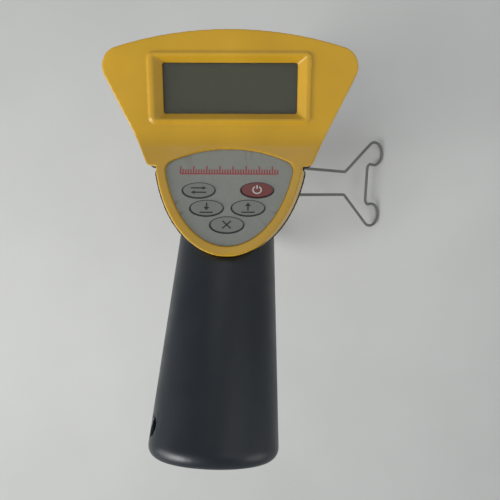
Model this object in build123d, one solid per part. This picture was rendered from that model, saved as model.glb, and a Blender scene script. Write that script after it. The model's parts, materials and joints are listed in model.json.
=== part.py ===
from build123d import *
import math
import os

# Walking measuring wheel, standing on its tyre and its wire side stand.
# Frame: origin where the tyre meets the ground, +Y the rolling direction, +X along the
# axle to the stand side, +Z up.  Everything except the stand is drawn upright and then
# leaned onto the stand by LEAN_DEG about the Y axis through the tyre's crown centre.
# All dimensions are in millimetres.

os.makedirs("parts", exist_ok=True)

# ---------------------------------------------------------------- driving dimensions
LEAN_DEG = 4.5
RUN = 0.05                       # radial running clearance of a shaft in its hole

CIRCUMFERENCE = 1000.0           # one turn measures one metre
WHEEL_R = CIRCUMFERENCE / (2 * math.pi)
AXLE_Z = WHEEL_R
CROWN_R = 10.0                   # half-round tyre crown, so the tyre is 20 wide
RIM_R = 147.0
RIM_HALF = 9.0
HUB_R = 22.0
HUB_HALF = 15.0
SPOKES = 8
AXLE_R = 5.0
BEARING_R = 13.0
BEARING_WIDE = 8.0
MAGNETS = 4
MAGNET_R = 2.5
MAGNET_RING_R = 17.5             # the magnets' circle, which the pulse sensor faces

LEG_X = 18.0                     # inner face of a fork leg
LEG_T = 4.0
LEG_W = 22.0
LEG_FOOT_Z = 143.0
LEG_TOP_Z = 368.0
CROWN_Z = 326.0
CROWN_TOP_Z = 368.0
FORK_BOLT_Z = 350.0
FORK_BOLT_YS = (-6.5, 6.5)
CROWN_BOLT_Z = 362.0
BRACKET_SCREW_ZS = (200.0, 216.0)
SENSOR_SCREW_Z = 204.0
LEAD_Z = 332.0
LEAD_R = 1.75

LOWER_R = 14.0
LOWER_BORE = 12.3
LOWER_Z = (338.0, 620.0)
UPPER_R = 11.0
UPPER_BORE = 9.6
UPPER_Z = (440.0, 775.0)
COLLAR_Z = (588.0, 626.0)
CLAMP_BOLT_Z = 607.0
PIN_XY = (24.0, 16.0)            # flip lever's pin
LEVER_Z = (596.0, 618.0)

CREASE_Y = 9.7                   # the fold between display panel and keypad panel
CREASE_Z = 798.1
CREASE_R = 12.0
DISPLAY_DEG = 5.2                # display panel rises forwards
KEYPAD_DEG = 33.9                # keypad panel rises towards the user
FAN_CROWN = 41.0                 # crease to the middle of the curved front edge
FAN_ARC_R = 153.0
FAN_CREASE_HALF = 36.4
FAN_SIDE_DEG = 26.0
TONGUE_CENTRE_Y = 14.0
TONGUE_HALVES = (29.6, 46.2)
LABEL_HALVES = (26.4, 42.9)
LABEL_ARC_R = 53.5
LABEL_TOP_Y = 6.5
COVER_DEEP = 9.0
HOUSING_DEEP = 19.0
CEILING = 3.0
WALL = 2.4
LIP = 0.5                        # the rear housing stands this much outside the cover
CAVITY_DEEP = 13.0
TRAY_Z = 771.0
SOCKET_BOLT_Z = 752.0
DOOR_HINGE = (42.8, 772.2)       # Y, Z of the battery door's hinge line
DOOR_PIN_R = 0.8

GRIP_DEG = 34.0                  # the grip rises towards the user, in line with the keypad
GRIP_YAW_DEG = 2.0               # and is turned a little to the left
GRIP_OUT = 32.9                  # from the pole's axis to a point on the grip's axis ...
GRIP_START_Z = 801.0             # ... below the keypad's tip, where T is zero
GRIP_T = (-6.0, 76.5)            # the sleeve's start and the middle of its slanted end
GRIP_R = (18.6, 21.6)
GRIP_END_DEG = 15.0              # the end face's slant from square
GRIP_END_WALL = 5.0
GRIP_END_ROUND = 4.0
GRIP_CORE_R = 15.5
GRIP_CORE_T = 52.0
GRIP_BORE_R = 12.5
LANYARD_R = 3.1
LANYARD_T = 68.5
LANYARD_DEG = 22.0               # above the grip's left side

STAND_WIRE_R = 2.5
STAND_PIVOT = (36.0, 178.0)      # upright X, Z of the hinge line
STAND_TIP_X = 250.5
STAND_YAW_DEG = 1.8              # the stand is skewed a little towards the user
BARREL_R = 6.0
BARREL_HALF = 13.0

LEAN = Pos(0, 0, CROWN_R) * Rot(0, LEAN_DEG, 0) * Pos(0, 0, -CROWN_R)


def save(name, shape):
    """Leans an upright piece, or a group of them, and writes it."""
    solids = [LEAN * solid for solid in shape.solids()]
    export_step(solids[0] if len(solids) == 1 else Compound(solids), f"parts/{name}.step")


# ---------------------------------------------------------------- small helpers
def rod_x(radius, x0, x1, y=0.0, z=0.0):
    return Pos((x0 + x1) / 2, y, z) * Rot(0, 90, 0) * Cylinder(radius, abs(x1 - x0))


def rod_y(radius, y0, y1, x=0.0, z=0.0):
    return Pos(x, (y0 + y1) / 2, z) * Rot(90, 0, 0) * Cylinder(radius, abs(y1 - y0))


def rod_z(radius, z0, z1, x=0.0, y=0.0):
    return Pos(x, y, (z0 + z1) / 2) * Cylinder(radius, z1 - z0)


def block(x0, x1, y0, y1, z0, z1):
    centre = Pos((x0 + x1) / 2, (y0 + y1) / 2, (z0 + z1) / 2)
    return centre * Box(x1 - x0, y1 - y0, z1 - z0)


def hex_x(across_flats, x0, x1, y=0.0, z=0.0):
    nut = extrude(RegularPolygon(across_flats / 2, 6, major_radius=False), abs(x1 - x0))
    return Pos(min(x0, x1), y, z) * Rot(0, 90, 0) * nut


def turned_about_x(face):
    """Revolves an (X, radius) section about the axle."""
    return Pos(0, 0, AXLE_Z) * revolve(Plane.XZ * face, Axis.X, 360)


def group(pieces):
    return Compound([solid for piece in pieces for solid in piece.solids()])


# ---------------------------------------------------------------- wheel
def tyre():
    crown = Pos(0, WHEEL_R - CROWN_R) * Circle(CROWN_R)
    section = crown - Pos(0, RIM_R - 10) * Rectangle(30, 20)
    for angle in (-38, -14, 14, 38):
        x = CROWN_R * math.sin(math.radians(angle))
        r = WHEEL_R - CROWN_R + CROWN_R * math.cos(math.radians(angle))
        section -= Pos(x, r) * Circle(0.7)
    return turned_about_x(section)


def wheel():
    rim = Pos(0, RIM_R - 4) * Rectangle(2 * RIM_HALF, 8)
    rim -= Pos(-RIM_HALF, RIM_R - 4) * Rectangle(8, 3)
    rim -= Pos(RIM_HALF, RIM_R - 4) * Rectangle(8, 3)
    web = Pos(0, (RIM_R + HUB_R) / 2 - 3) * Rectangle(4, RIM_R - HUB_R)
    hub = Pos(0, (HUB_R + 9) / 2) * Rectangle(2 * HUB_HALF, HUB_R - 9)
    body = turned_about_x(rim + web + hub)
    windows = rod_x(130, -4, 4, z=AXLE_Z) - rod_x(36, -5, 5, z=AXLE_Z)
    for k in range(SPOKES):
        turn = Pos(0, 0, AXLE_Z) * Rot(360 / SPOKES * k, 0, 0)
        windows -= turn * Pos(0, 0, 85) * Box(12, 15, 110)
    body -= fillet(windows.edges().filter_by(Axis.X), 5)
    for k in range(SPOKES):
        turn = Pos(0, 0, AXLE_Z) * Rot(360 / SPOKES * k, 0, 0)
        body += turn * Pos(0, 0, (HUB_R + RIM_R) / 2 - 5) * Box(12, 7, RIM_R - HUB_R - 6)
    for side in (-1, 1):
        body -= rod_x(BEARING_R, side * (HUB_HALF - BEARING_WIDE - 0.2), side * (HUB_HALF + 1), z=AXLE_Z)
    for k in range(MAGNETS):
        turn = Pos(0, 0, AXLE_Z) * Rot(360 / MAGNETS * k, 0, 0)
        body -= turn * rod_x(MAGNET_R, -HUB_HALF - 1, -HUB_HALF + 3, z=MAGNET_RING_R)
    return body


def magnets():
    magnet = rod_x(MAGNET_R, -HUB_HALF, -HUB_HALF + 3, z=MAGNET_RING_R)
    return group(Pos(0, 0, AXLE_Z) * Rot(360 / MAGNETS * k, 0, 0) * magnet for k in range(MAGNETS))


def hub_bearings():
    rings = []
    for side in (-1, 1):
        ring = rod_x(BEARING_R, side * (HUB_HALF - BEARING_WIDE - 0.2), side * (HUB_HALF - 0.2), z=AXLE_Z)
        ring -= rod_x(AXLE_R + RUN, side * (HUB_HALF - BEARING_WIDE - 1), side * HUB_HALF, z=AXLE_Z)
        shield = rod_x(11, side * (HUB_HALF - 0.8), side * HUB_HALF, z=AXLE_Z)
        shield -= rod_x(7.5, side * (HUB_HALF - 1), side * (HUB_HALF + 1), z=AXLE_Z)
        rings.append(ring - shield)
    return group(rings)


# ---------------------------------------------------------------- fork
def fork_leg(side):
    length = LEG_TOP_Z - LEG_FOOT_Z
    outline = Pos(0, (LEG_TOP_Z + LEG_FOOT_Z) / 2) * Rot(0, 0, 90) * SlotOverall(length, LEG_W)
    inner = side * LEG_X
    leg = extrude(Plane.YZ.offset(inner) * outline, side * LEG_T)
    leg -= rod_x(AXLE_R, side * 10, side * 30, z=AXLE_Z)
    leg -= rod_x(3, side * 10, side * 30, z=AXLE_Z + 150)
    for y in FORK_BOLT_YS:
        leg -= rod_x(2.5, side * 10, side * 30, y=y, z=FORK_BOLT_Z)
    if side < 0:
        leg -= rod_x(4, -30, -10, z=AXLE_Z + MAGNET_RING_R)
        leg -= rod_x(LEAD_R + RUN, -30, -10, z=LEAD_Z)
        leg -= rod_x(1.5, -30, -10, z=SENSOR_SCREW_Z)
    else:
        for z in BRACKET_SCREW_ZS:
            leg -= rod_x(2, 10, 30, z=z)
    return fillet(leg.edges().filter_by(GeomType.CIRCLE).filter_by(
        lambda e: e.radius > 10), 0.8)


def fork_crown():
    crown = block(-LEG_X, LEG_X, -17, 17, CROWN_Z, CROWN_TOP_Z)
    crown = fillet(crown.edges().filter_by(Axis.Z), 6)
    crown += rod_z(17.5, CROWN_TOP_Z, CROWN_TOP_Z + 12)
    crown = fillet(crown.edges().group_by(Axis.Z)[-1], 2)
    crown -= rod_z(LOWER_R, LOWER_Z[0], CROWN_TOP_Z + 20)
    crown -= rod_x(LEAD_R + RUN, -LEG_X - 1, -5, z=LEAD_Z)
    crown -= rod_y(2.5, -20, 20, z=CROWN_BOLT_Z)
    for side in (-1, 1):
        for y in FORK_BOLT_YS:
            crown -= rod_x(2.5, side * (LEG_X - 4.5), side * (LEG_X + 1), y=y, z=FORK_BOLT_Z)
    return crown


def fork_bolts():
    bolts = []
    outer = LEG_X + LEG_T
    for side in (-1, 1):
        for y in FORK_BOLT_YS:
            bolt = rod_x(2.5, side * (LEG_X - 4.5), side * outer, y=y, z=FORK_BOLT_Z)
            head = rod_x(4.2, side * outer, side * (outer + 3), y=y, z=FORK_BOLT_Z)
            head -= hex_x(3, side * (outer + 1.2), side * (outer + 4), y=y, z=FORK_BOLT_Z)
            bolts.append(bolt + head)
    return group(bolts)


def crown_bolt():
    bolt = rod_y(2.5, -17, 21, z=CROWN_BOLT_Z) + rod_y(4.5, -20, -17, z=CROWN_BOLT_Z)
    nut = Pos(0, 17, CROWN_BOLT_Z) * Rot(-90, 0, 0) * extrude(RegularPolygon(4, 6, major_radius=False), 4)
    return bolt + nut


def axle():
    shaft = rod_x(AXLE_R, -32, 32, z=AXLE_Z)
    return chamfer(shaft.edges(), 0.8)


def axle_nuts():
    face = LEG_X + LEG_T + 1
    nuts = []
    for side in (-1, 1):
        nut = hex_x(16, side * face, side * (face + 7), z=AXLE_Z)
        nuts.append(nut - rod_x(AXLE_R, side * 10, side * 40, z=AXLE_Z))
    return group(nuts)


def axle_washers():
    face = LEG_X + LEG_T
    return group(rod_x(10, s * face, s * (face + 1), z=AXLE_Z) - rod_x(AXLE_R, s * 10, s * 40, z=AXLE_Z)
                 for s in (-1, 1))


def hub_spacers():
    return group(rod_x(7.2, s * HUB_HALF, s * LEG_X, z=AXLE_Z) - rod_x(AXLE_R, s * 10, s * 40, z=AXLE_Z)
                 for s in (-1, 1))


# ---------------------------------------------------------------- pulse sensor and its lead
def pulse_sensor():
    outer = -(LEG_X + LEG_T)
    body = block(outer - 9, outer, -9, 9, 171, 211)
    body = fillet(body.edges().filter_by(Axis.X), 4)
    body = fillet(body.faces().sort_by(Axis.X)[0].edges(), 1.5)
    body += rod_x(4, -LEG_X + 1.5, outer, z=AXLE_Z + MAGNET_RING_R)
    body -= rod_x(1.5, outer - 12, outer + 1, z=SENSOR_SCREW_Z)
    body -= rod_x(3, outer - 10, outer - 7, z=SENSOR_SCREW_Z)
    body -= rod_z(LEAD_R + RUN, 206.5, 212, x=-26, y=-6)
    return body


def sensor_screw():
    outer = -(LEG_X + LEG_T)
    screw = rod_x(1.5, outer - 7, -LEG_X - 0.5, z=SENSOR_SCREW_Z)
    head = rod_x(2.8, outer - 9, outer - 7, z=SENSOR_SCREW_Z)
    head -= block(outer - 9.5, outer - 8, -2, 2, SENSOR_SCREW_Z - 0.4, SENSOR_SCREW_Z + 0.4)
    return screw + head


def sensor_lead():
    x = -26
    path = FilletPolyline((x, -6, 206.5), (x, -6, 285), (x - 10, 0, 312), (x - 10, 0, LEAD_Z),
                          (-6, 0, LEAD_Z), radius=[11, 11, 10.5])
    start = Plane(origin=(x, -6, 206.5), z_dir=(0, 0, 1))
    return sweep(start * Circle(LEAD_R), path)


def lead_clips():
    outer = -(LEG_X + LEG_T)
    clips = []
    for z in (232, 268):
        clip = block(outer - 6.5, outer, -9.5, 2.5, z - 4, z + 4)
        clip = fillet(clip.edges().filter_by(Axis.Z).group_by(Axis.X)[0], 2.5)
        clips.append(clip - rod_z(LEAD_R + RUN, z - 6, z + 6, x=-26, y=-6))
    return group(clips)


# ---------------------------------------------------------------- telescoping pole
def lower_tube():
    tube = rod_z(LOWER_R, *LOWER_Z) - rod_z(LOWER_BORE, LOWER_Z[0] - 1, LOWER_Z[1] + 1)
    tube -= rod_y(2.5, -20, 20, z=CROWN_BOLT_Z)
    return tube


def upper_tube():
    tube = rod_z(UPPER_R, *UPPER_Z) - rod_z(UPPER_BORE, UPPER_Z[0] - 1, UPPER_Z[1] + 1)
    tube -= rod_x(2, -20, 20, z=SOCKET_BOLT_Z)
    return tube


def tube_bush():
    bush = rod_z(LOWER_BORE, LOWER_Z[1] - 28, LOWER_Z[1]) + rod_z(LOWER_R, LOWER_Z[1], LOWER_Z[1] + 3)
    return bush - rod_z(UPPER_R + RUN, LOWER_Z[1] - 30, LOWER_Z[1] + 4)


def glide_bush():
    bush = rod_z(LOWER_BORE - RUN, UPPER_Z[0], UPPER_Z[0] + 30)
    bush -= rod_z(UPPER_R, UPPER_Z[0] - 1, UPPER_Z[0] + 31)
    return bush


def clamp_collar():
    low, high = COLLAR_Z
    collar = rod_z(19, low, high)
    collar += block(8, 30, -9, 9, low + 2, high - 2)
    collar = fillet(collar.edges().filter_by(Axis.Z).group_by(Axis.X)[-1], 3)
    collar = chamfer(collar.edges().group_by(Axis.Z)[-1], 1.2)
    collar -= rod_z(LOWER_R, low - 1, LOWER_Z[1])
    collar -= rod_z(LOWER_R, LOWER_Z[1] - 1, high + 1)
    collar -= block(10, 35, -1.5, 1.5, low - 1, high + 1)
    collar -= rod_y(2, -20, 20, x=PIN_XY[0], z=CLAMP_BOLT_Z)
    return collar


def clamp_bolt():
    x, y = PIN_XY
    bolt = rod_y(2, -9, y, x=x, z=CLAMP_BOLT_Z) + rod_y(4, -12, -9, x=x, z=CLAMP_BOLT_Z)
    bolt += rod_z(4.5, CLAMP_BOLT_Z - 2.7, CLAMP_BOLT_Z + 2.7, x=x, y=y)
    return bolt - rod_z(2, *LEVER_Z, x=x, y=y)


def lever_pin():
    x, y = PIN_XY
    return rod_z(2, LEVER_Z[0] - 0.5, LEVER_Z[1] + 0.5, x=x, y=y)


def clamp_lever():
    x, y = PIN_XY
    low, high = LEVER_Z
    band = Circle(27.5) - Circle(22.8)
    keep = make_face(Polyline((0, 0), (60, 36), (20, 80), (-40, 64), (0, 0)).edges())
    lever = Pos(0, 0, low) * extrude(band & keep, high - low)
    lever += rod_z(6.4, low, high, x=x, y=y)
    lever = fillet(lever.edges().filter_by(Axis.Z).group_by(Axis.X)[0], 1.5)
    lever -= rod_z(7.5, CLAMP_BOLT_Z - 3.3, CLAMP_BOLT_Z + 3.3, x=x, y=y)
    lever -= rod_z(2 + RUN, low - 1, high + 1, x=x, y=y)
    return lever


# ---------------------------------------------------------------- head: shared surfaces
def panel_z(y):
    """Height of the two-plane panel surface at Y, without its rounded fold."""
    if y > CREASE_Y:
        return CREASE_Z + (y - CREASE_Y) * math.tan(math.radians(DISPLAY_DEG))
    return CREASE_Z + (CREASE_Y - y) * math.tan(math.radians(KEYPAD_DEG))


def panel_line(depth):
    points = [(y, panel_z(y) - depth) for y in (62, CREASE_Y, -48)]
    return FilletPolyline(*points, radius=CREASE_R)


def between(upper, lower):
    """The layer between the panel surface lowered by two depths."""
    top = panel_line(upper)
    low = panel_line(lower)
    edges = list(top.edges()) + list(low.edges()) + [Line(top @ 0, low @ 0), Line(top @ 1, low @ 1)]
    return extrude(Plane.YZ * make_face(edges), 62, both=True)


def fan_outline():
    side = math.tan(math.radians(FAN_SIDE_DEG))
    crown_y = CREASE_Y + FAN_CROWN * math.cos(math.radians(DISPLAY_DEG))
    foot_y, top_y = -0.3, 60
    foot = FAN_CREASE_HALF + (foot_y - CREASE_Y) * side
    top = FAN_CREASE_HALF + (top_y - CREASE_Y) * side
    fan = make_face(Polyline((-foot, foot_y), (foot, foot_y), (top, top_y), (-top, top_y),
                             (-foot, foot_y)).edges())
    fan &= Pos(0, crown_y - FAN_ARC_R) * Circle(FAN_ARC_R)
    fan = fillet(fan.vertices().group_by(Axis.Y)[-1], 7.5)
    return fillet(fan.vertices().group_by(Axis.Y)[0], 2.5)


def tongue_outline(grow=0.0):
    """The keypad's pick shape: the lower part of an ellipse, running up under the fan."""
    half_wide, half_long = TONGUE_HALVES
    ellipse = Pos(0, TONGUE_CENTRE_Y) * Ellipse(half_wide + grow, half_long + grow)
    return ellipse & Pos(0, -36) * Rectangle(100, 80)


def label_outline(grow=0.0, top_y=LABEL_TOP_Y):
    """The same pick shape further in, closed by a shallow arc at the top."""
    half_wide, half_long = LABEL_HALVES
    ellipse = Pos(0, TONGUE_CENTRE_Y) * Ellipse(half_wide + grow, half_long + grow)
    label = ellipse & Pos(0, top_y - LABEL_ARC_R) * Circle(LABEL_ARC_R + grow)
    return fillet(label.vertices(), 3.5)


def upright(face):
    return extrude(Pos(0, 0, 700) * face, 200)


def head_prism(grow):
    fan = fan_outline()
    if grow:
        fan = offset(fan, grow)
    return upright(fan) + upright(tongue_outline(grow))


display_plane = Plane(origin=(0, CREASE_Y, CREASE_Z), x_dir=(1, 0, 0),
                      z_dir=(0, -math.sin(math.radians(DISPLAY_DEG)), math.cos(math.radians(DISPLAY_DEG))))
keypad_plane = Plane(origin=(0, CREASE_Y, CREASE_Z), x_dir=(1, 0, 0),
                     z_dir=(0, math.sin(math.radians(KEYPAD_DEG)), math.cos(math.radians(KEYPAD_DEG))))
# the grip's frame: Z along the grip towards its end, X across it, Y towards its upper side
grip_plane = Plane(Rot(0, 0, -GRIP_YAW_DEG) * Pos(0, -GRIP_OUT, GRIP_START_Z) * Rot(90 - GRIP_DEG, 0, 0))

WINDOW = (52.0, 18.7)
WINDOW_S = 19.75                 # window centre, from the crease along the display panel
KEYS = {"unit_key": (-11.1, 22.6), "power_key": (10.7, 22.4), "store_key": (-7.8, 30.3),
        "recall_key": (7.4, 30.2), "clear_key": (-0.2, 37.3)}
KEY_HALVES = (5.85, 3.05)
COVER_SCREWS = [(-40, 33), (40, 33), (-26, 4), (26, 4)]


def plate(plane, width, height, centre_s, upper, lower):
    """A rectangular plate lying at a depth below one of the panel planes."""
    outline = Pos(0, centre_s, -lower) * Rectangle(width, height)
    return extrude(plane * outline, lower - upper)


def oval(name, half_long, half_short, upper, lower):
    """A key-shaped plug at a depth below the keypad panel."""
    x, s = KEYS[name]
    return extrude(keypad_plane * Pos(x, -s, -lower) * Ellipse(half_long, half_short), lower - upper)


# ---------------------------------------------------------------- head: pieces
def front_cover():
    cover = between(0, COVER_DEEP) & head_prism(0)
    cover -= between(CEILING, COVER_DEEP + 5) & head_prism(-WALL)
    ridge = plate(display_plane, WINDOW[0] + 10.2, WINDOW[1] + 7.0, WINDOW_S, -0.9, 1)
    cover += fillet(ridge.edges().filter_by(Axis((0, 0, 0), display_plane.z_dir)), 2.0)
    funnel = loft([display_plane * Pos(0, WINDOW_S, -2.2) * Rectangle(*WINDOW),
                   display_plane * Pos(0, WINDOW_S, 0.95) * Rectangle(WINDOW[0] + 6.6, WINDOW[1] + 4.8)])
    cover -= funnel
    cover -= plate(display_plane, *WINDOW, WINDOW_S, -2, 6)
    label_prism = upright(label_outline())
    cover -= between(-6, 1.6) & label_prism
    for name in KEYS:
        cover -= oval(name, KEY_HALVES[0] + 0.3, KEY_HALVES[1] + 0.3, -1, 6)
    for x, y in COVER_SCREWS:
        boss = rod_z(3.5, 760, 830, x=x, y=y) & between(1, COVER_DEEP)
        cover += boss
        cover -= rod_z(1.5, 760, panel_z(y) - 3.2, x=x, y=y)
    return cover


def rear_envelope():
    bottom = [(62, 786), (50.5, 779), (44, TRAY_Z), (14, TRAY_Z), (10, panel_z(10) - HOUSING_DEEP),
              (CREASE_Y, panel_z(CREASE_Y) - HOUSING_DEEP), (-48, panel_z(-48) - HOUSING_DEEP)]
    top = panel_line(COVER_DEEP)
    low = Polyline(*bottom)
    edges = list(top.edges()) + list(low.edges()) + [Line(top @ 0, low @ 0), Line(top @ 1, low @ 1)]
    return extrude(Plane.YZ * make_face(edges), 62, both=True)


def rear_housing():
    elbow_z = GRIP_START_Z - GRIP_OUT * math.tan(math.radians(GRIP_DEG))
    elbow_t = -GRIP_OUT / math.cos(math.radians(GRIP_DEG))
    shell = rear_envelope() & head_prism(LIP)
    neck = extrude(grip_plane * Pos(0, 0, elbow_t) * Circle(GRIP_R[0]), GRIP_T[0] - elbow_t)
    core = extrude(grip_plane * Pos(0, 0, elbow_t) * Circle(GRIP_CORE_R), GRIP_CORE_T - elbow_t)
    socket = rod_z(17, 742, elbow_z)
    socket = fillet(socket.edges().group_by(Axis.Z)[0], 2)
    body = shell + neck + core + socket + Pos(0, 0, elbow_z) * Sphere(GRIP_R[0])
    body -= between(-30, COVER_DEEP) & head_prism(LIP + 0.1)
    body -= between(-30, CAVITY_DEEP) & head_prism(-WALL)
    body -= head_prism(-WALL) & block(-60, 60, 19, 60, TRAY_Z + WALL, 800)
    body -= block(-27, 27, 20, DOOR_HINGE[0] + 1.5, TRAY_Z - 1, TRAY_Z + WALL + 1)
    body -= rod_x(DOOR_PIN_R + RUN, -28.8, 28.8, *DOOR_HINGE)
    body -= rod_z(UPPER_R, 740, UPPER_Z[1])
    body -= extrude(grip_plane * Pos(0, 0, 10) * Circle(GRIP_BORE_R), 50)
    body -= rod_x(2, -30, 30, z=SOCKET_BOLT_Z)
    for x, y in COVER_SCREWS:
        floor = TRAY_Z if y > 10 else panel_z(y) - HOUSING_DEEP
        post = rod_z(3.5, floor, panel_z(y) - 3, x=x, y=y) & rear_envelope()
        body += post
        body -= rod_z(1.6, floor - 5, 830, x=x, y=y)
        body -= rod_z(3, floor - 8, floor + 2.2, x=x, y=y)
    body -= cover_gasket()
    return body


def cover_gasket():
    band = head_prism(-0.7) - head_prism(-1.6)
    return between(COVER_DEEP, COVER_DEEP + 0.9) & band


def cover_screws():
    screws = []
    for x, y in COVER_SCREWS:
        floor = TRAY_Z if y > 10 else panel_z(y) - HOUSING_DEEP
        head = rod_z(2.8, floor + 0.4, floor + 2.2, x=x, y=y)
        head -= block(x - 2, x + 2, y - 0.4, y + 0.4, floor, floor + 1.2)
        screws.append(head + rod_z(1.5, floor + 2.2, panel_z(y) - 3.6, x=x, y=y))
    return group(screws)


def display_lens():
    return plate(display_plane, WINDOW[0] + 5, WINDOW[1] + 5, WINDOW_S, CEILING, CEILING + 1.2)


def lcd_panel():
    return plate(display_plane, WINDOW[0] + 7, WINDOW[1] + 7, WINDOW_S, CEILING + 1.4, CEILING + 4)


def main_board():
    board = plate(display_plane, 66, 28, 20, 9.2, 10.8)
    for x, y in COVER_SCREWS:
        board -= rod_z(4, 760, 830, x=x, y=y)
    return board


def buzzer():
    return extrude(display_plane * Pos(24, 12, -9.2) * Circle(5), 2.2)


def keypad_label():
    label = between(1.0, 1.6) & upright(label_outline(-0.15))
    for name in KEYS:
        label -= oval(name, KEY_HALVES[0] + 0.25, KEY_HALVES[1] + 0.25, -2, 6)
    return label


def key(name):
    long, short = KEY_HALVES
    return oval(name, long, short, 0.5, 3.0) + oval(name, long + 0.6, short + 0.45, 3.0, 3.8)


def keypad_mat():
    sheet = upright(label_outline(-2.2, 2.0))
    return sheet & extrude(keypad_plane * Pos(0, -30, -6.2) * Rectangle(70, 80), 1.4)


def keypad_board():
    sheet = upright(label_outline(-2.2, 2.0))
    return sheet & extrude(keypad_plane * Pos(0, -30, -7.8) * Rectangle(70, 80), 1.6)


def battery_holder():
    holder = block(-28, 28, 21, 45, 775, 787)
    holder -= block(-26.5, 26.5, 22.5, 43.5, 774, 785.5)
    return holder


def batteries():
    cells = []
    for y, way in ((27.8, 1), (38.2, -1)):
        cell = rod_x(5.15, -22 * way, 21 * way, y=y, z=780)
        cells.append(cell + rod_x(1.9, 21 * way, 22.3 * way, y=y, z=780))
    return group(cells)


def battery_contacts():
    return group(block(min(s * 25.9, s * 26.4), max(s * 25.9, s * 26.4), y - 4, y + 4, 775.5, 784.5)
                 for s in (-1, 1) for y in (27.8, 38.2))


def battery_cover():
    cover = block(-26.7, 26.7, 20.3, DOOR_HINGE[0], TRAY_Z, TRAY_Z + WALL)
    cover += rod_x(WALL / 2, -26.7, 26.7, *DOOR_HINGE)
    cover += rod_x(DOOR_PIN_R, -28.5, 28.5, *DOOR_HINGE)
    for y in (24, 26.5, 29):
        cover -= block(-8, 8, y, y + 1, TRAY_Z - 1, TRAY_Z + 0.6)
    return cover


def socket_bolt():
    bolt = rod_x(2, -17, 17, z=SOCKET_BOLT_Z) + rod_x(4, 17, 19.5, z=SOCKET_BOLT_Z)
    return bolt + hex_x(7, -20, -17, z=SOCKET_BOLT_Z)


def grip():
    """A tapered sleeve with a slanted, rounded end, cut away where it runs under the head."""
    r0, r1 = GRIP_R
    t0, t1 = GRIP_T
    over = t1 + r1
    wide_r = r0 + (r1 - r0) * (over - t0) / (t1 - t0)

    def up_to(t):
        return Pos(0, 0, t) * Rot(GRIP_END_DEG, 0, 0) * Pos(0, 0, -100) * Box(200, 200, 200)

    sleeve = Pos(0, 0, (t0 + over) / 2) * Cone(r0, wide_r, over - t0) & up_to(t1)
    end_face = sleeve.faces().filter_by(GeomType.PLANE).sort_by(Axis.Z)[-1]
    sleeve = fillet(end_face.edges(), GRIP_END_ROUND)
    sleeve -= rod_z(GRIP_CORE_R, t0 - 1, over) & up_to(t1 - GRIP_END_WALL)
    turn = Pos(0, 0, LANYARD_T) * Rot(0, 0, -LANYARD_DEG)
    sleeve -= turn * rod_x(LANYARD_R, -r1 - 5, -GRIP_CORE_R + 3)
    sleeve = grip_plane.location * sleeve
    sleeve -= (rear_envelope() + between(-30, COVER_DEEP)) & head_prism(LIP)
    return max(sleeve.solids(), key=lambda solid: solid.volume)


# ---------------------------------------------------------------- side stand
def stand_bracket():
    outer = LEG_X + LEG_T
    px, pz = STAND_PIVOT
    plate_part = block(outer, outer + 3, -BARREL_HALF + 2, BARREL_HALF - 2, 174, 224)
    plate_part = fillet(plate_part.edges().filter_by(Axis.X), 4)
    web = block(outer, px, -BARREL_HALF + 3, BARREL_HALF - 3, pz - 3, pz + 3)
    hinge = Pos(px, 0, pz) * Rot(0, -LEAN_DEG, 0) * Rot(0, 0, -STAND_YAW_DEG)
    body = plate_part + web + hinge * rod_y(BARREL_R, -BARREL_HALF, BARREL_HALF)
    for side in (-1, 1):
        body -= hinge * rod_y(STAND_WIRE_R + RUN, side * 5, side * 20)
    for z in BRACKET_SCREW_ZS:
        body -= rod_x(2, 10, 30, z=z)
    return body


def bracket_screws():
    outer = LEG_X + LEG_T
    screws = []
    for z in BRACKET_SCREW_ZS:
        head = rod_x(3.6, outer + 3, outer + 5.5, z=z)
        head -= hex_x(2.6, outer + 4, outer + 6, z=z)
        screws.append(rod_x(2, LEG_X + 0.5, outer + 3, z=z) + head)
    return group(screws)


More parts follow.
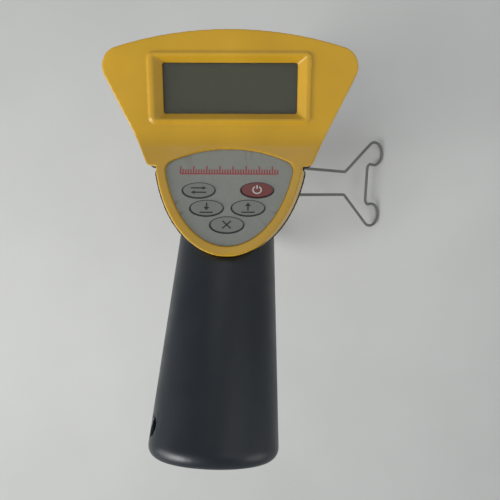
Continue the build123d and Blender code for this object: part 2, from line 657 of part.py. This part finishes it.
def kickstand():
    """One bent wire: two legs that spread into round feet joined by a crossbar."""
    pivot = (LEAN * Location((STAND_PIVOT[0], 0, STAND_PIVOT[1]))).position
    reach = (Vector(STAND_TIP_X, 0, STAND_WIRE_R) - pivot).rotate(Axis.Z, -STAND_YAW_DEG)
    hinge_line = Vector(0, 1, 0).rotate(Axis.Z, -STAND_YAW_DEG)
    length = reach.length
    plane = Plane(origin=pivot, x_dir=reach, z_dir=hinge_line.cross(reach))
    flip = 1 if plane.y_dir.Y > 0 else -1

    foot_r, foot_v = 21.0, 57.5
    foot = (length - foot_r, foot_v)
    neck = (length - 96, 20.5)
    leg_half, hook_end, bend_r = 23.6, 6.0, 8.0
    turn_r, bar_u = 9.0, length - 38.0

    to_neck = math.atan2(neck[1] - foot[1], neck[0] - foot[0])
    touch = to_neck - math.acos(foot_r / math.hypot(neck[0] - foot[0], neck[1] - foot[1]))
    start = (foot[0] + foot_r * math.cos(touch), foot[1] + foot_r * math.sin(touch))
    turn_u = bar_u + turn_r
    turn_v = foot_v - math.sqrt((foot_r + turn_r) ** 2 - (turn_u - foot[0]) ** 2)
    share = foot_r / (foot_r + turn_r)
    leave = (foot[0] + (turn_u - foot[0]) * share, foot_v + (turn_v - foot_v) * share)

    def side(sign):
        def at(u, v):
            return (u, sign * flip * v)
        leg = FilletPolyline(at(0, hook_end), at(0, leg_half), at(*neck), at(*start), radius=bend_r)
        foot_arc = ThreePointArc(at(*start), at(foot[0] + foot_r, foot_v), at(*leave))
        mid = math.atan2(leave[1] - turn_v, leave[0] - turn_u)
        mid = (mid + math.pi) / 2
        turn_mid = (turn_u + turn_r * math.cos(mid), turn_v + turn_r * math.sin(mid))
        turn_arc = ThreePointArc(at(*leave), at(*turn_mid), at(bar_u, turn_v))
        return [*leg.edges(), foot_arc, turn_arc]

    bar = Line((bar_u, -turn_v), (bar_u, turn_v))
    path = Wire([plane.from_local_coords(e) for e in side(-1) + [bar] + side(1)])
    begin = Plane(origin=path @ 0, z_dir=path % 0)
    return sweep(begin * Circle(STAND_WIRE_R), path)


# ---------------------------------------------------------------- write every piece
PIECES = {
    "tyre": tyre, "wheel": wheel, "magnets": magnets, "hub_bearings": hub_bearings,
    "fork_leg_left": lambda: fork_leg(-1), "fork_leg_right": lambda: fork_leg(1),
    "fork_crown": fork_crown, "fork_bolts": fork_bolts, "crown_bolt": crown_bolt,
    "axle": axle, "axle_nuts": axle_nuts, "axle_washers": axle_washers, "hub_spacers": hub_spacers,
    "pulse_sensor": pulse_sensor, "sensor_screw": sensor_screw, "sensor_lead": sensor_lead,
    "lead_clips": lead_clips, "lower_tube": lower_tube, "upper_tube": upper_tube,
    "tube_bush": tube_bush, "glide_bush": glide_bush, "clamp_collar": clamp_collar,
    "clamp_bolt": clamp_bolt, "lever_pin": lever_pin, "clamp_lever": clamp_lever,
    "front_cover": front_cover, "rear_housing": rear_housing, "cover_gasket": cover_gasket,
    "cover_screws": cover_screws, "display_lens": display_lens, "lcd_panel": lcd_panel,
    "main_board": main_board, "buzzer": buzzer, "keypad_label": keypad_label,
    "keypad_mat": keypad_mat, "keypad_board": keypad_board, "battery_holder": battery_holder,
    "batteries": batteries, "battery_contacts": battery_contacts, "battery_cover": battery_cover,
    "socket_bolt": socket_bolt, "grip": grip, "stand_bracket": stand_bracket,
    "bracket_screws": bracket_screws,
}

for node, make in PIECES.items():
    save(node, make())
for node in KEYS:
    save(node, key(node))
export_step(kickstand(), "parts/kickstand.step")
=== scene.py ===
import json
import math

import bmesh
import bpy
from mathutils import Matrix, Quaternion, Vector


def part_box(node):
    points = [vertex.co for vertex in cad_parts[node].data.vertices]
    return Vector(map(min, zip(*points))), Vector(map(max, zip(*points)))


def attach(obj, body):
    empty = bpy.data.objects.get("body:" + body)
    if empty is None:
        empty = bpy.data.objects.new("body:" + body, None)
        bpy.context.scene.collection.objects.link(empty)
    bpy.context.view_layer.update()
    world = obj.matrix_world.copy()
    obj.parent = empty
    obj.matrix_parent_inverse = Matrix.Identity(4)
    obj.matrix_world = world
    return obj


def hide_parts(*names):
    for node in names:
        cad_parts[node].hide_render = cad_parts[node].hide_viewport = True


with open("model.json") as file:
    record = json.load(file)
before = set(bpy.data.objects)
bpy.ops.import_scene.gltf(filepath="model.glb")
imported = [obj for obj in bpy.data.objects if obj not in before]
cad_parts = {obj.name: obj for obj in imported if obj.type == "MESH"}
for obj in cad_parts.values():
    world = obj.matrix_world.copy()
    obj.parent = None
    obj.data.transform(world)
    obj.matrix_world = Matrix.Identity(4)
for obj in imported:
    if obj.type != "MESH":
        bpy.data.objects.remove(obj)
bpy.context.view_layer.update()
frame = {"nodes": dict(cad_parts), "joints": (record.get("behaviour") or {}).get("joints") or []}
nodes = frame["nodes"]
joints = {joint["name"]: joint for joint in frame["joints"]}
MM = 0.001

# ------------------------------------------------------------------ directions and places
ACROSS = Vector(joints["wheel_spin"]["axis"])            # along the axle, towards the stand
AXLE = Vector(joints["wheel_spin"]["pos_m"])
KEY_UP = -Vector(joints["unit_key_press"]["axis"])
KEY_AWAY = KEY_UP.cross(ACROSS)                          # up the keypad, away from the user
POLE_UP = Vector(joints["pole_slide"]["axis"])
FORWARD = Vector((0, 1, 0))
KEYS = ("unit_key", "power_key", "store_key", "recall_key", "clear_key")


def vertices_of(node):
    return [v.co.copy() for v in nodes[node].data.vertices]


def top_of(node, direction):
    """The middle of a node, moved out to its farthest face in that direction."""
    low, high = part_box(node)
    middle = (low + high) / 2
    reach = max(p.dot(direction) for p in vertices_of(node))
    return middle + direction * (reach - middle.dot(direction))


# ------------------------------------------------------------------ node materials
class Recipe:
    """A Principled material whose colour, roughness and bump come from noise in object space."""

    def __init__(self, name, roughness, metallic=0.0):
        self.material = bpy.data.materials.new(name)
        self.material.use_nodes = True
        self.tree = self.material.node_tree
        self.shader = self.tree.nodes["Principled BSDF"]
        self.shader.inputs["Roughness"].default_value = roughness
        self.shader.inputs["Metallic"].default_value = metallic
        self.where = self.tree.nodes.new("ShaderNodeTexCoord").outputs["Object"]

    def link(self, source, target):
        self.tree.links.new(source, target)

    def noise(self, scale, detail=3.0, stretch=None):
        node = self.tree.nodes.new("ShaderNodeTexNoise")
        node.inputs["Scale"].default_value = scale
        node.inputs["Detail"].default_value = detail
        if stretch:
            mapping = self.tree.nodes.new("ShaderNodeMapping")
            mapping.inputs["Scale"].default_value = stretch
            self.link(self.where, mapping.inputs["Vector"])
            self.link(mapping.outputs["Vector"], node.inputs["Vector"])
        else:
            self.link(self.where, node.inputs["Vector"])
        return node.outputs["Fac"]

    def ramp(self, source, stops):
        node = self.tree.nodes.new("ShaderNodeValToRGB")
        elements = node.color_ramp.elements
        while len(elements) < len(stops):
            elements.new(0.5)
        for element, (place, colour) in zip(elements, stops):
            element.position = place
            element.color = (*colour, 1)
        self.link(source, node.inputs["Fac"])
        return node.outputs["Color"]

    def spread(self, source, low, high):
        node = self.tree.nodes.new("ShaderNodeMapRange")
        node.inputs["From Min"].default_value = 0.3
        node.inputs["From Max"].default_value = 0.7
        node.inputs["To Min"].default_value = low
        node.inputs["To Max"].default_value = high
        self.link(source, node.inputs["Value"])
        return node.outputs["Result"]

    def mix(self, factor, first, second):
        node = self.tree.nodes.new("ShaderNodeMix")
        node.data_type = "RGBA"
        self.link(factor, node.inputs["Factor"])
        self.link(first, node.inputs["A"])
        self.link(second, node.inputs["B"])
        return node.outputs["Result"]

    def colour(self, source):
        self.link(source, self.shader.inputs["Base Color"])

    def roughness(self, source):
        self.link(source, self.shader.inputs["Roughness"])

    def bump(self, source, strength, height_mm):
        node = self.tree.nodes.new("ShaderNodeBump")
        node.inputs["Strength"].default_value = strength
        node.inputs["Distance"].default_value = height_mm * MM
        self.link(source, node.inputs["Height"])
        self.link(node.outputs["Normal"], self.shader.inputs["Normal"])


def shade(colour, factor):
    return tuple(min(1.0, c * factor) for c in colour)


def moulded(name, colour, rough=(0.35, 0.5), grain_mm=0.5, bump=0.25, mottle=0.10, coat=0.0):
    """Moulded plastic: faint cloudy colour, a fine spark-eroded grain and rubbed patches."""
    made = Recipe(name, rough[0])
    clouds = made.noise(35, 4)
    made.colour(made.ramp(clouds, [(0.3, shade(colour, 1 - mottle)), (0.55, colour),
                                   (0.75, shade(colour, 1 + mottle))]))
    made.roughness(made.spread(made.noise(90, 5), *rough))
    made.bump(made.noise(1 / (grain_mm * MM), 2), bump, 0.03)
    made.shader.inputs["Coat Weight"].default_value = coat
    made.shader.inputs["Coat Roughness"].default_value = 0.25
    return made.material


def rubber(name, colour, dust, dust_amount=0.6):
    made = Recipe(name, 0.8)
    dirt = made.ramp(made.noise(60, 6), [(0.45, (0, 0, 0)), (dust_amount + 0.25, (1, 1, 1))])
    base = made.ramp(made.noise(400, 3), [(0.35, shade(colour, 0.8)), (0.7, shade(colour, 1.25))])
    dusty = made.ramp(made.noise(500, 2), [(0.3, shade(dust, 0.8)), (0.7, dust)])
    made.colour(made.mix(dirt, base, dusty))
    made.roughness(made.spread(made.noise(150, 4), 0.62, 0.9))
    made.bump(made.noise(1800, 3), 0.35, 0.05)
    return made.material


def drawn_metal(name, colour, along, rough=(0.25, 0.42)):
    """Metal with a fine grain drawn out along one direction of the object."""
    made = Recipe(name, rough[0], metallic=1.0)
    grain = made.noise(900, 4, stretch=along)
    made.colour(made.ramp(grain, [(0.3, shade(colour, 0.86)), (0.7, shade(colour, 1.08))]))
    made.roughness(made.spread(made.noise(45, 5), *rough))
    made.bump(grain, 0.12, 0.02)
    return made.material


def printed_film(name, colour, speckle=0.05, rough=(0.3, 0.42)):
    made = Recipe(name, rough[0])
    made.colour(made.ramp(made.noise(700, 4), [(0.3, shade(colour, 1 - speckle)),
                                               (0.7, shade(colour, 1 + speckle))]))
    made.roughness(made.spread(made.noise(120, 4), *rough))
    made.bump(made.noise(1500, 2), 0.15, 0.02)
    return made.material


def clear_window(name):
    made = Recipe(name, 0.04)
    made.shader.inputs["Transmission Weight"].default_value = 1.0
    made.shader.inputs["IOR"].default_value = 1.46
    made.colour(made.ramp(made.noise(20, 2), [(0.3, (0.93, 0.94, 0.92)), (0.7, (0.97, 0.98, 0.96))]))
    made.roughness(made.spread(made.noise(25, 2), 0.03, 0.04))
    return made.material


def crystal(name, colour):
    """The liquid crystal cell: a grey-green field with the faintest clouding."""
    made = Recipe(name, 0.3)
    field = made.ramp(made.noise(14, 2), [(0.3, shade(colour, 0.985)), (0.7, shade(colour, 1.015))])
    made.colour(field)
    made.roughness(made.spread(made.noise(200, 2), 0.28, 0.32))
    return made.material


YELLOW = (0.600, 0.340, 0.017)
SLATE = (0.0095, 0.0140, 0.0195)
mats = {
    "yellow": moulded("yellow_plastic", YELLOW, rough=(0.28, 0.42), grain_mm=0.6, bump=0.2, coat=0.15),
    "wheel": moulded("wheel_plastic", shade(YELLOW, 1.05), rough=(0.32, 0.5), grain_mm=0.8),
    "housing": moulded("housing_plastic", SLATE, rough=(0.34, 0.46), grain_mm=0.5, bump=0.4, mottle=0.18),
    "grip": moulded("grip_rubber", SLATE, rough=(0.34, 0.46), grain_mm=0.45, bump=0.35, mottle=0.2),
    "black": moulded("black_plastic", (0.022, 0.023, 0.025), rough=(0.4, 0.55), bump=0.4, mottle=0.2),
    "tyre": rubber("tyre_rubber", (0.022, 0.022, 0.023), (0.16, 0.145, 0.12)),
    "seal": rubber("seal_rubber", (0.018, 0.018, 0.019), (0.05, 0.05, 0.05), 0.7),
    "alloy": drawn_metal("anodised_tube", (0.66, 0.67, 0.69), (1, 1, 0.02)),
    "steel": drawn_metal("plated_steel", (0.56, 0.56, 0.55), (1, 1, 1), rough=(0.3, 0.5)),
    "nickel": drawn_metal("nickel", (0.72, 0.70, 0.66), (1, 1, 1), rough=(0.15, 0.3)),
    "lens": clear_window("window_clear"),
    "lcd": crystal("crystal_cell", (0.120, 0.120, 0.066)),
    "board": printed_film("solder_mask", (0.015, 0.10, 0.04)),
    "label": printed_film("label_film", (0.262, 0.270, 0.238), speckle=0.03),
    "key": printed_film("key_film", (0.215, 0.222, 0.195), speckle=0.03),
    "red": printed_film("red_film", (0.185, 0.033, 0.030)),
    "red_ink": printed_film("red_ink", (0.36, 0.050, 0.050), rough=(0.4, 0.5)),
    "ink": printed_film("dark_ink", (0.022, 0.022, 0.024), rough=(0.4, 0.5)),
    "pale_ink": printed_film("pale_ink", (0.62, 0.60, 0.55), rough=(0.4, 0.5)),
    "wire": moulded("coated_wire", (0.175, 0.174, 0.160), rough=(0.35, 0.5), grain_mm=0.7, bump=0.3),
    "sleeve": printed_film("cell_sleeve", (0.05, 0.06, 0.09)),
}

NODE_LOOK = {
    "wheel": "wheel", "tyre": "tyre", "magnets": "nickel", "hub_bearings": "steel",
    "fork_leg_left": "alloy", "fork_leg_right": "alloy", "fork_crown": "black", "fork_bolts": "steel",
    "crown_bolt": "steel", "axle": "steel", "axle_nuts": "steel", "axle_washers": "steel",
    "hub_spacers": "steel", "pulse_sensor": "black", "sensor_screw": "steel", "sensor_lead": "seal",
    "lead_clips": "black", "lower_tube": "alloy", "upper_tube": "alloy", "tube_bush": "black",
    "glide_bush": "black", "clamp_collar": "black", "clamp_bolt": "steel", "lever_pin": "steel",
    "clamp_lever": "yellow", "front_cover": "yellow", "rear_housing": "housing", "cover_gasket": "seal",
    "cover_screws": "steel", "display_lens": "lens", "lcd_panel": "lcd", "main_board": "board",
    "buzzer": "black", "keypad_label": "label", "keypad_mat": "seal", "keypad_board": "board",
    "battery_holder": "black", "batteries": "sleeve", "battery_contacts": "nickel",
    "battery_cover": "housing", "socket_bolt": "steel", "grip": "grip", "stand_bracket": "black",
    "bracket_screws": "steel", "unit_key": "key", "power_key": "red", "store_key": "key",
    "recall_key": "key", "clear_key": "key", "kickstand": "wire",
}
SOFT_EDGE_MM = {"fork_crown": 0.8, "clamp_collar": 0.6, "clamp_lever": 0.6, "stand_bracket": 0.6,
                "fork_leg_left": 0.4, "fork_leg_right": 0.4, "pulse_sensor": 0.4, "wheel": 0.6,
                "axle_nuts": 0.4, "battery_cover": 0.3, "keypad_label": 0.1, "fork_bolts": 0.3,
                "lead_clips": 0.3}


def paint(obj, look):
    obj.data.materials.clear()
    obj.data.materials.append(mats[look])
    return obj


def soften(obj, width_mm, segments=2, angle_deg=38):
    """Breaks an object's sharp edges with a small rounded bevel."""
    weld = obj.modifiers.new("weld", "WELD")
    weld.merge_threshold = 1e-6
    bevel = obj.modifiers.new("edge", "BEVEL")
    bevel.width = width_mm * MM
    bevel.segments = segments
    bevel.limit_method = "ANGLE"
    bevel.angle_limit = math.radians(angle_deg)
    bevel.use_clamp_overlap = True
    bevel.harden_normals = False


for node, look in NODE_LOOK.items():
    paint(nodes[node], look)
for node, width in SOFT_EDGE_MM.items():
    soften(nodes[node], width)


# ------------------------------------------------------------------ mesh pieces
def piece(name, mesh, look, body):
    obj = bpy.data.objects.new(name, mesh)
    bpy.context.scene.collection.objects.link(obj)
    paint(obj, look)
    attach(obj, body)
    return obj


def rounded_copy(node, name, voxel_mm, passes):
    """A copy of a node's surface with every edge rounded over, as a moulding tool leaves it."""
    source = nodes[node]
    obj = bpy.data.objects.new(name, source.data.copy())
    bpy.context.scene.collection.objects.link(obj)
    remesh = obj.modifiers.new("remesh", "REMESH")
    remesh.mode = "VOXEL"
    remesh.voxel_size = voxel_mm * MM
    relax = obj.modifiers.new("relax", "SMOOTH")
    relax.factor = 0.5
    relax.iterations = passes
    bpy.context.view_layer.update()
    depsgraph = bpy.context.evaluated_depsgraph_get()
    mesh = bpy.data.meshes.new_from_object(obj.evaluated_get(depsgraph))
    bpy.data.objects.remove(obj)
    for polygon in mesh.polygons:
        polygon.use_smooth = True
    return mesh


def replace_rounded(node, name, look, body, voxel_mm, passes):
    obj = piece(name, rounded_copy(node, name, voxel_mm, passes), look, body)
    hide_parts(node)
    return obj


cover = replace_rounded("front_cover", "cover_moulding", "yellow", "head", 0.35, 9)
housing = replace_rounded("rear_housing", "housing_moulding", "housing", "head", 0.5, 6)
replace_rounded("grip", "grip_sleeve", "grip", "head", 0.5, 4)

# Depths below the keypad panel, measured upright, and the keypad's pick-shaped outline.
LABEL_DEEP_MM, COVER_DEEP_MM, HOUSING_DEEP_MM = 1.0, 9.0, 19.0
UPRIGHT = POLE_UP.dot(KEY_UP)
near_clear = [p.dot(KEY_UP) for p in vertices_of("keypad_label")
              if (p - top_of("clear_key", KEY_UP)).length < 12 * MM]
label_height = max(near_clear)
PANEL_HEIGHT = label_height + LABEL_DEEP_MM * UPRIGHT * MM
RIM_DEEP = COVER_DEEP_MM * UPRIGHT * MM
BACK_DEEP = HOUSING_DEEP_MM * UPRIGHT * MM
TONGUE_CENTRE_Y, TONGUE_HALF_X, TONGUE_HALF_Y = 14.0 * MM, 29.6 * MM, 46.2 * MM
TONGUE_FROM_Y, TONGUE_FULL_Y = 0.0 * MM, -2.5 * MM       # where the draft starts and is full
DRAFT_MM, DRAFT_SIDE_MM = 0.8, 1.2                       # at the tip, and more at the sides


def ease(value, start, end):
    """Rises smoothly from 0 at start to 1 at end."""
    t = min(1.0, max(0.0, (value - start) / (end - start)))
    return t * t * (3 - 2 * t)


def draft_tongue(obj):
    """Slopes the keypad rim's walls outwards down to the parting line and in again below it."""
    for vertex in obj.data.vertices:
        p = vertex.co
        x = (p - AXLE).dot(ACROSS)
        y = p.y - TONGUE_CENTRE_Y
        depth = PANEL_HEIGHT - p.dot(KEY_UP)
        across, along = x / TONGUE_HALF_X, y / TONGUE_HALF_Y
        near_rim = ease(math.hypot(across, along), 0.7, 0.9)
        near_rim *= ease(-p.y, -TONGUE_FROM_Y, -TONGUE_FULL_Y)
        if depth < RIM_DEEP:
            down = ease(depth, 0, 2 * RIM_DEEP) * 2
        else:
            down = 1 - ease(depth, RIM_DEEP, BACK_DEEP)
        out = Vector((across / TONGUE_HALF_X, along / TONGUE_HALF_Y)).normalized()
        shift = (DRAFT_MM + DRAFT_SIDE_MM * abs(out.x)) * MM * near_rim * down
        vertex.co = p + (ACROSS * out.x + FORWARD * out.y) * shift


draft_tongue(cover)
draft_tongue(housing)


# ------------------------------------------------------------------ printed marks on the keypad
INK_SUNK_MM = 0.04
LINE_MM = 0.5                                            # the signs' strokes
OUTLINE_MM = 0.42                                        # the ovals around the keys


class Print:
    """Thin raised ink, drawn in millimetres on a plane as closed solids in one mesh."""

    def __init__(self, centre, thickness_mm=0.06):
        self.bm = bmesh.new()
        self.centre = centre
        self.thickness = thickness_mm

    def _place(self, x, y, z):
        return self.centre + (ACROSS * x + KEY_AWAY * y + KEY_UP * z) * MM

    def slab(self, outline):
        low = [self.bm.verts.new(self._place(x, y, -INK_SUNK_MM)) for x, y in outline]
        high = [self.bm.verts.new(self._place(x, y, self.thickness)) for x, y in outline]
        self.bm.faces.new(high)
        self.bm.faces.new(list(reversed(low)))
        for k in range(len(outline)):
            j = (k + 1) % len(outline)
            self.bm.faces.new((low[k], low[j], high[j], high[k]))

    def bar(self, start, end, width):
        a, b = Vector(start), Vector(end)
        side = (b - a).normalized().orthogonal() * width / 2
        self.slab([tuple(a - side), tuple(b - side), tuple(b + side), tuple(a + side)][::-1])

    def band(self, half_x, half_y, width, start_deg=0.0, end_deg=360.0, steps=64):
        """An oval line, closed or open."""
        closed = end_deg - start_deg >= 360
        count = steps if closed else steps + 1
        rings = []
        for k in range(count):
            angle = math.radians(start_deg + (end_deg - start_deg) * k / steps)
            c, s = math.cos(angle), math.sin(angle)
            corners = [((half_x - width / 2) * c, (half_y - width / 2) * s),
                       ((half_x + width / 2) * c, (half_y + width / 2) * s)]
            rings.append([self.bm.verts.new(self._place(x, y, z))
                          for z in (-INK_SUNK_MM, self.thickness) for x, y in corners])
        pairs = list(zip(rings, rings[1:]))
        if closed:
            pairs.append((rings[-1], rings[0]))
        for a, b in pairs:
            for i, j in ((0, 1), (1, 3), (3, 2), (2, 0)):
                self.bm.faces.new((a[i], a[j], b[j], b[i]))
        if not closed:
            self.bm.faces.new((rings[0][0], rings[0][2], rings[0][3], rings[0][1]))
            self.bm.faces.new((rings[-1][1], rings[-1][3], rings[-1][2], rings[-1][0]))

    def mesh(self, name):
        bmesh.ops.recalc_face_normals(self.bm, faces=self.bm.faces)
        mesh = bpy.data.meshes.new(name)
        self.bm.to_mesh(mesh)
        self.bm.free()
        return mesh


def power_sign(ink):
    ink.band(1.55, 1.55, LINE_MM, -240, 60, 40)
    ink.bar((0, 0.5), (0, 2.1), LINE_MM)


def unit_sign(ink):
    """Two opposed arrows: change between units."""
    for way, y in ((1, 0.95), (-1, -0.95)):
        ink.bar((-2.9 * way, y), (1.6 * way, y), LINE_MM)
        ink.slab([(1.4 * way, y - 0.75 * way), (2.9 * way, y), (1.4 * way, y + 0.75 * way)])


def store_sign(ink):
    """An arrow down into a tray."""
    ink.bar((0, 2.2), (0, 0.2), LINE_MM)
    ink.slab([(-1.1, 0.4), (0, -1.0), (1.1, 0.4)])
    ink.bar((-2.4, -1.9), (2.4, -1.9), LINE_MM)


def recall_sign(ink):
    """An arrow up out of a tray."""
    ink.bar((0, -1.2), (0, 0.9), LINE_MM)
    ink.slab([(-1.1, 0.8), (1.1, 0.8), (0, 2.2)])
    ink.bar((-2.4, -1.9), (2.4, -1.9), LINE_MM)


def clear_sign(ink):
    ink.bar((-1.5, -1.5), (1.5, 1.5), LINE_MM)
    ink.bar((-1.5, 1.5), (1.5, -1.5), LINE_MM)


SIGNS = {"unit_key": unit_sign, "power_key": power_sign, "store_key": store_sign,
         "recall_key": recall_sign, "clear_key": clear_sign}
for key, draw in SIGNS.items():
    ink = Print(top_of(key, KEY_UP))
    draw(ink)
    look = "pale_ink" if key == "power_key" else "ink"
    piece(f"{key}_sign", ink.mesh(f"{key}_sign"), look, f"{key}_cap")

outlines = Print(Vector(), 0.05)
for key in KEYS:
    place = top_of(key, KEY_UP)
    place += KEY_UP * (label_height - place.dot(KEY_UP))
    outlines.centre = place
    outlines.band(6.2, 3.4, OUTLINE_MM)
piece("key_outlines", outlines.mesh("key_outlines"), "ink", "head")

# a generic graduated strip above the keys, with a taller line at every fifth millimetre
STRIP_HALF, STRIP_LINES, STRIP_BASE = 18.5, 38, -1.75
strip_place = top_of("clear_key", KEY_UP) + (ACROSS * 0.2 + KEY_AWAY * 24.0) * MM
strip_place += KEY_UP * (label_height - strip_place.dot(KEY_UP))
strip = Print(strip_place, 0.05)
strip.bar((-STRIP_HALF, STRIP_BASE), (STRIP_HALF, STRIP_BASE), 0.45)
for k in range(STRIP_LINES):
    tall = 3.4 if k % 5 == 0 else 1.9
    x = -STRIP_HALF + k
    strip.bar((x, -1.6), (x, -1.6 + tall), LINE_MM)
piece("scale_strip", strip.mesh("scale_strip"), "red_ink", "head")


# ------------------------------------------------------------------ tyre with tread
CROWN_MM = 10.0                                          # radius of the tyre's half-round crown
TREAD_BLOCKS = 110
BLOCK_STEPS = 6                                          # steps round the tyre for one block ...
SLOT_STEPS = (0, 1)                                      # ... and those that form its slot
GROOVE_MM, SLOT_MM, INNER_SLOT_MM = 0.6, 0.7, 0.35


def tyre_mesh():
    """The half-round tyre with a ribbed tread pressed into its crown."""
    crown = CROWN_MM
    low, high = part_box("tyre")
    radius = (high.y - low.y) / 2 / MM
    around = TREAD_BLOCKS * BLOCK_STEPS
    profile = []
    for k in range(41):
        angle = math.radians(-102 + 204 * k / 40)
        profile.append((crown * math.sin(angle), radius - crown + crown * math.cos(angle), angle))
    bm = bmesh.new()
    away = ACROSS.cross(FORWARD)
    rings = []
    for j in range(around):
        turn = 2 * math.pi * j / around
        out = FORWARD * math.cos(turn) + away * math.sin(turn)
        slot_here = (j % BLOCK_STEPS) in SLOT_STEPS
        ring = []
        for x, r, angle in profile:
            cut = 0.0
            side = abs(math.degrees(angle))
            if side < 4 or 20 < side < 24:
                cut = GROOVE_MM
            elif slot_here and 24 <= side < 62:
                cut = SLOT_MM
            elif slot_here and 4 <= side <= 20:
                cut = INNER_SLOT_MM
            ring.append(bm.verts.new(AXLE + (ACROSS * (x * (1 - cut / crown))
                                             + out * (r - cut * math.cos(angle))) * MM))
        rings.append(ring)
    for a, b in zip(rings, rings[1:] + rings[:1]):
        for k in range(len(profile)):
            j = (k + 1) % len(profile)
            bm.faces.new((a[k], a[j], b[j], b[k]))
    bmesh.ops.recalc_face_normals(bm, faces=bm.faces)
    mesh = bpy.data.meshes.new("tyre_tread")
    bm.to_mesh(mesh)
    bm.free()
    for polygon in mesh.polygons:
        polygon.use_smooth = True
    return mesh


tread = piece("tyre_tread", tyre_mesh(), "tyre", "road_wheel")
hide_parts("tyre")


# ------------------------------------------------------------------ centimetre marks on the rim
RIM_FACE_MM = 9.0
MARK_FROM_MM, MARK_TO_MM = 139.6, 141.4                  # radii
MARKS = 100
MARK_QUADS = ((0, 1, 2, 3), (4, 7, 6, 5), (0, 4, 5, 1), (1, 5, 6, 2), (2, 6, 7, 3), (3, 7, 4, 0))


def rim_marks():
    bm = bmesh.new()
    away = ACROSS.cross(FORWARD)
    inner, outer = MARK_FROM_MM, MARK_TO_MM
    for k in range(MARKS):
        turn = 2 * math.pi * k / MARKS
        out = FORWARD * math.cos(turn) + away * math.sin(turn)
        along = ACROSS.cross(out)
        half = 0.9 if k % 10 == 0 else 0.35
        for side in (-1, 1):
            face = side * RIM_FACE_MM
            corners = []
            for lift in (-0.05, 0.06):
                for r, w in ((inner, -half), (inner, half), (outer, half), (outer, -half)):
                    corners.append(bm.verts.new(
                        AXLE + (ACROSS * (face + side * lift) + out * r + along * w) * MM))
            for quad in MARK_QUADS:
                bm.faces.new([corners[i] for i in quad])
    bmesh.ops.recalc_face_normals(bm, faces=bm.faces)
    mesh = bpy.data.meshes.new("rim_marks")
    bm.to_mesh(mesh)
    bm.free()
    return mesh


piece("rim_marks", rim_marks(), "ink", "road_wheel")

# ------------------------------------------------------------------ floor, light, camera
FLOOR_HALF = 3.0
floor_mesh = bpy.data.meshes.new("floor")
floor_mesh.from_pydata([(-FLOOR_HALF, -FLOOR_HALF, 0), (FLOOR_HALF, -FLOOR_HALF, 0),
                        (FLOOR_HALF, FLOOR_HALF, 0), (-FLOOR_HALF, FLOOR_HALF, 0)], [], [(0, 1, 2, 3)])
floor = bpy.data.objects.new("floor", floor_mesh)
bpy.context.scene.collection.objects.link(floor)
floor_look = Recipe("floor_paint", 0.6)
floor_look.colour(floor_look.ramp(floor_look.noise(4, 3), [(0.3, (0.60, 0.60, 0.575)),
                                                            (0.7, (0.64, 0.64, 0.615))]))
floor.data.materials.append(floor_look.material)


def area_light(name, place, aim, size, power, colour=(1, 1, 1)):
    light = bpy.data.lights.new(name, "AREA")
    light.shape = "DISK"
    light.size = size
    light.energy = power
    light.color = colour
    obj = bpy.data.objects.new(name, light)
    obj.location = place
    obj.rotation_euler = (Vector(aim) - Vector(place)).to_track_quat("-Z", "Y").to_euler()
    bpy.context.scene.collection.objects.link(obj)


HEAD = (0.06, 0.0, 0.80)
area_light("key", (-1.25, -0.75, 1.75), HEAD, 1.1, 27)
area_light("fill", (1.3, 0.6, 1.9), HEAD, 1.6, 3.5)
area_light("back", (0.1, 1.7, 1.4), HEAD, 1.0, 2.2)
area_light("side", (0.75, -0.3, 0.95), (0.066, -0.07, 0.83), 0.5, 1.0)
area_light("left", (-0.7, -0.25, 0.95), (0.05, -0.07, 0.83), 0.35, 0.8)
world = bpy.data.worlds.new("studio")
world.use_nodes = True
world.node_tree.nodes["Background"].inputs["Color"].default_value = (0.86, 0.90, 0.95, 1)
world.node_tree.nodes["Background"].inputs["Strength"].default_value = 0.38
bpy.context.scene.world = world
bpy.context.scene.view_settings.view_transform = "Standard"

CAMERA_AT = (0.0873, -0.0073, 0.9939)
CAMERA_TURN_DEG = (-7.43, 5.04, 0.60)                    # rotation vector from looking straight down
camera = bpy.data.cameras.new("camera")
camera.sensor_width = 36
camera.lens = 36
camera.clip_start = 0.01
camera_obj = bpy.data.objects.new("camera", camera)
turn = Vector([math.radians(a) for a in CAMERA_TURN_DEG])
camera_obj.rotation_mode = "QUATERNION"
camera_obj.rotation_quaternion = Quaternion(turn.normalized(), turn.length)
camera_obj.location = CAMERA_AT
bpy.context.scene.collection.objects.link(camera_obj)
bpy.context.scene.camera = camera_obj
